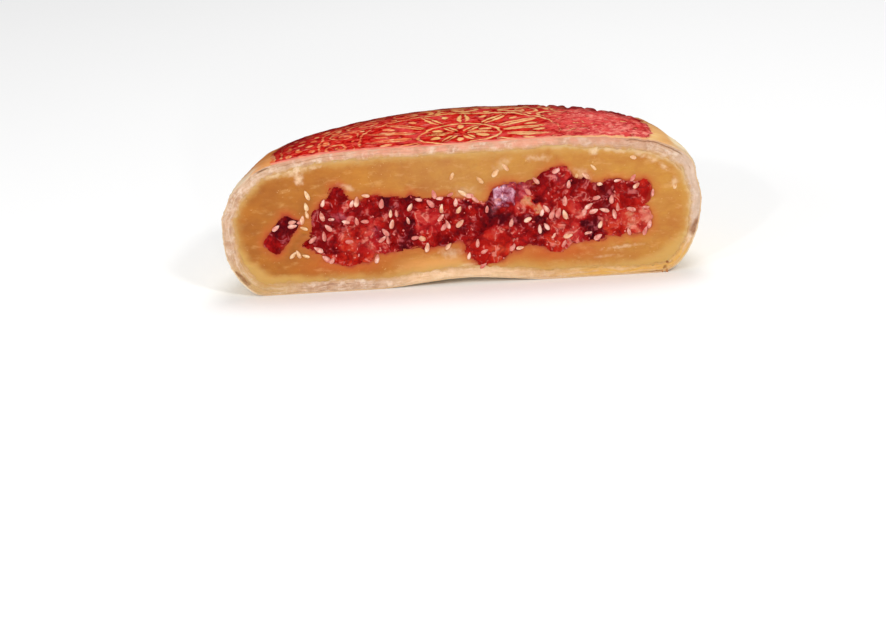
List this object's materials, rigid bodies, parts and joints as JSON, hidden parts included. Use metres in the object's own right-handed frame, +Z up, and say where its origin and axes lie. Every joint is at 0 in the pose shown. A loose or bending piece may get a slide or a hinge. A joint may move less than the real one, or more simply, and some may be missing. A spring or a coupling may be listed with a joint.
{
  "type": "pia cake half",
  "caption": "Half of a large round flaky pastry cake, cut straight down to show its crust, bean paste and a core of candied fruit and sesame.",
  "frame": {"origin": "middle of the bounding box, on the surface that the half cake rests on", "axes": "+X along the straight cut, +Y from the cut face towards the round back, +Z up through the stamped top"},
  "size_m": [0.1498, 0.0749, 0.0456],
  "materials": {
    "crust": "satin baked pastry, cream at the side, with an egg-washed golden top that carries a stamped edible red ink ornament",
    "bean_paste": "smooth, dense and slightly moist golden tan bean paste with a faint waxy sheen",
    "fruit_mix": "sticky dark red jam and minced candied fruit, wet gloss",
    "red_fruit": "translucent candied fruit jelly, bright red, wet gloss",
    "dark_fruit": "candied fruit, dark maroon, wet gloss",
    "rose_fruit": "candied melon, rose to salmon, semi gloss",
    "lilac_fruit": "candied fruit with a sugary lilac bloom",
    "amber_fruit": "candied peel, tan to amber, semi gloss",
    "black_fruit": "raisin-like fruit, near black purple, wet gloss",
    "sesame": "hulled sesame seeds, cream, stained a little pink by the jam",
    "crumbs": "toasted brown crumbs and flakes of crust"
  },
  "bodies": {
    "root": {"crust": "crust", "bean_paste": "bean_paste", "fruit_mix": "fruit_mix", "chunk_far_left": "dark_fruit", "chunk_small_top": "dark_fruit", "chunk_left_dark": "dark_fruit", "chunk_left_bright": "red_fruit", "chunk_left_deep": "dark_fruit", "chunk_plum": "black_fruit", "chunk_rose_cube": "rose_fruit", "chunk_middle_low": "red_fruit", "chunk_middle_dark": "dark_fruit", "chunk_big_red": "red_fruit", "chunk_lilac": "lilac_fruit", "chunk_tan_sliver": "amber_fruit", "chunk_lower_dark": "dark_fruit", "chunk_round_red": "dark_fruit", "chunk_right_deep": "dark_fruit", "chunk_right_bright": "red_fruit", "chunk_black_fruit": "black_fruit", "chunk_right_end": "red_fruit", "chunk_right_orange": "red_fruit", "chunk_right_salmon": "rose_fruit"}
  },
  "joints": []
}
